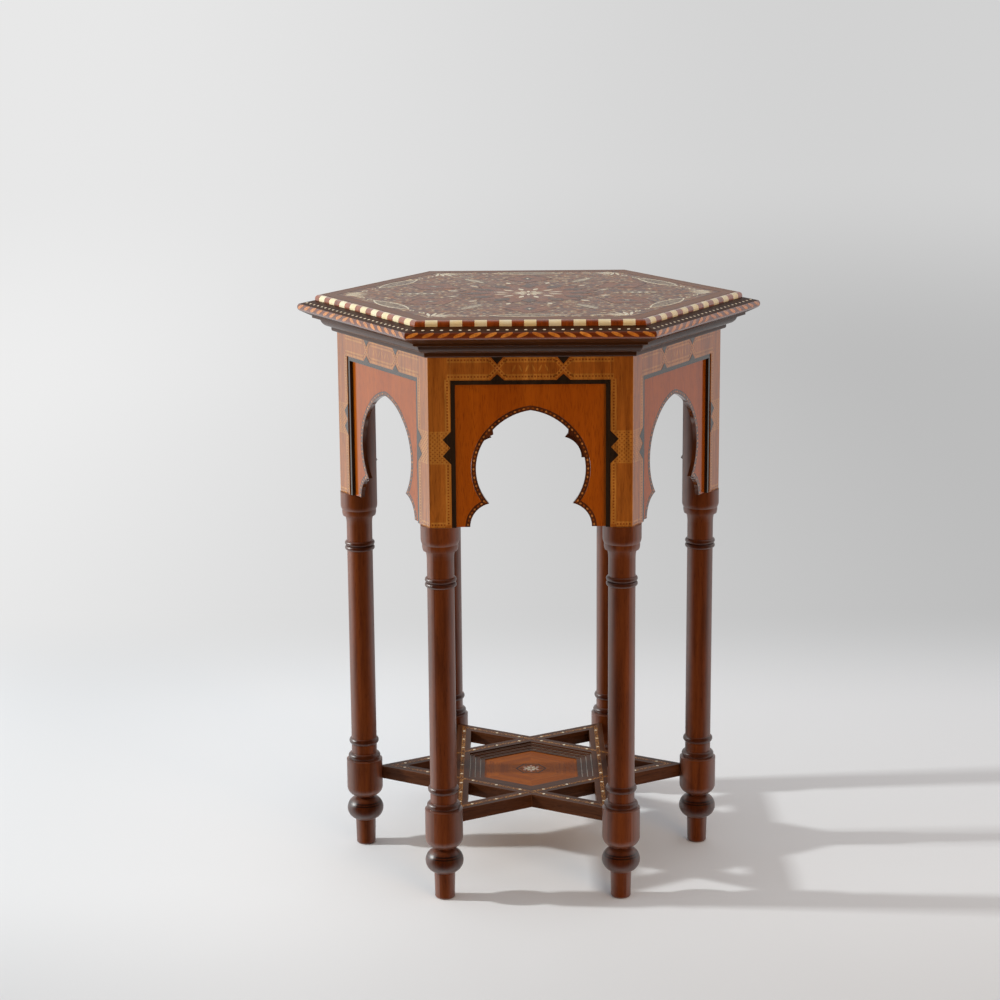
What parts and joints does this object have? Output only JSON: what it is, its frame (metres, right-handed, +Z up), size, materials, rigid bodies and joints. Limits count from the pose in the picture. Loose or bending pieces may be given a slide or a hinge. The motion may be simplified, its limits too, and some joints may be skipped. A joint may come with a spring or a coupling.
{
  "type": "hexagonal side table",
  "caption": "Hexagonal side table with an inlaid top, moulded edge, apron of lobed arches, turned legs and a star stretcher that carries a small inlaid shelf.",
  "frame": {"origin": "on the floor, below the centre of the top", "axes": "+Z up along the table's upright axis, -Y out of the front apron face, +X to the right of that face"},
  "size_m": [0.5588, 0.484, 0.7],
  "materials": {
    "leg_wood": "French polish, gloss",
    "panel_wood": "polished, semi gloss",
    "frame_wood": "polished, semi gloss",
    "cornice_wood": "stained dark, polished",
    "edge_wood": "stained dark with inlay, polished",
    "stretcher_wood": "stained dark with inlay, polished",
    "banding_wood": "inlaid banding, polished",
    "ebony": "black stained, satin",
    "core_wood": "plain, unpolished",
    "top_marquetry": "geometric inlay, French polish",
    "bone": "polished bone",
    "chequer_wood": "stained red-brown, polished",
    "shelf_veneer": "radiating veneer, polished",
    "medallion_inlay": "geometric inlay, polished"
  },
  "bodies": {
    "root": {"leg_1": "leg_wood", "arch_panel_1": "panel_wood", "frame_rail_1": "frame_wood", "frame_stile_1_left": "frame_wood", "frame_stile_1_right": "frame_wood", "cornice_1": "cornice_wood", "edge_moulding_1": "edge_wood", "stretcher_bar_1": "stretcher_wood", "leg_2": "leg_wood", "arch_panel_2": "panel_wood", "frame_rail_2": "frame_wood", "frame_stile_2_left": "frame_wood", "frame_stile_2_right": "frame_wood", "cornice_2": "cornice_wood", "edge_moulding_2": "edge_wood", "stretcher_bar_2": "stretcher_wood", "leg_3": "leg_wood", "arch_panel_3": "panel_wood", "frame_rail_3": "frame_wood", "frame_stile_3_left": "frame_wood", "frame_stile_3_right": "frame_wood", "cornice_3": "cornice_wood", "edge_moulding_3": "edge_wood", "stretcher_bar_3": "stretcher_wood", "leg_4": "leg_wood", "arch_panel_4": "panel_wood", "frame_rail_4": "frame_wood", "frame_stile_4_left": "frame_wood", "frame_stile_4_right": "frame_wood", "cornice_4": "cornice_wood", "edge_moulding_4": "edge_wood", "stretcher_bar_4": "stretcher_wood", "leg_5": "leg_wood", "arch_panel_5": "panel_wood", "frame_rail_5": "frame_wood", "frame_stile_5_left": "frame_wood", "frame_stile_5_right": "frame_wood", "cornice_5": "cornice_wood", "edge_moulding_5": "edge_wood", "stretcher_bar_5": "stretcher_wood", "leg_6": "leg_wood", "arch_panel_6": "panel_wood", "frame_rail_6": "frame_wood", "frame_stile_6_left": "frame_wood", "frame_stile_6_right": "frame_wood", "cornice_6": "cornice_wood", "edge_moulding_6": "edge_wood", "stretcher_bar_6": "stretcher_wood", "arch_banding": "banding_wood", "frame_liners": "ebony", "top_core": "core_wood", "top_veneer": "top_marquetry", "chequer_bone": "bone", "chequer_dark": "chequer_wood", "shelf_board": "core_wood", "shelf_moulding": "stretcher_wood", "shelf_field": "shelf_veneer", "shelf_medallion": "medallion_inlay"}
  },
  "joints": []
}
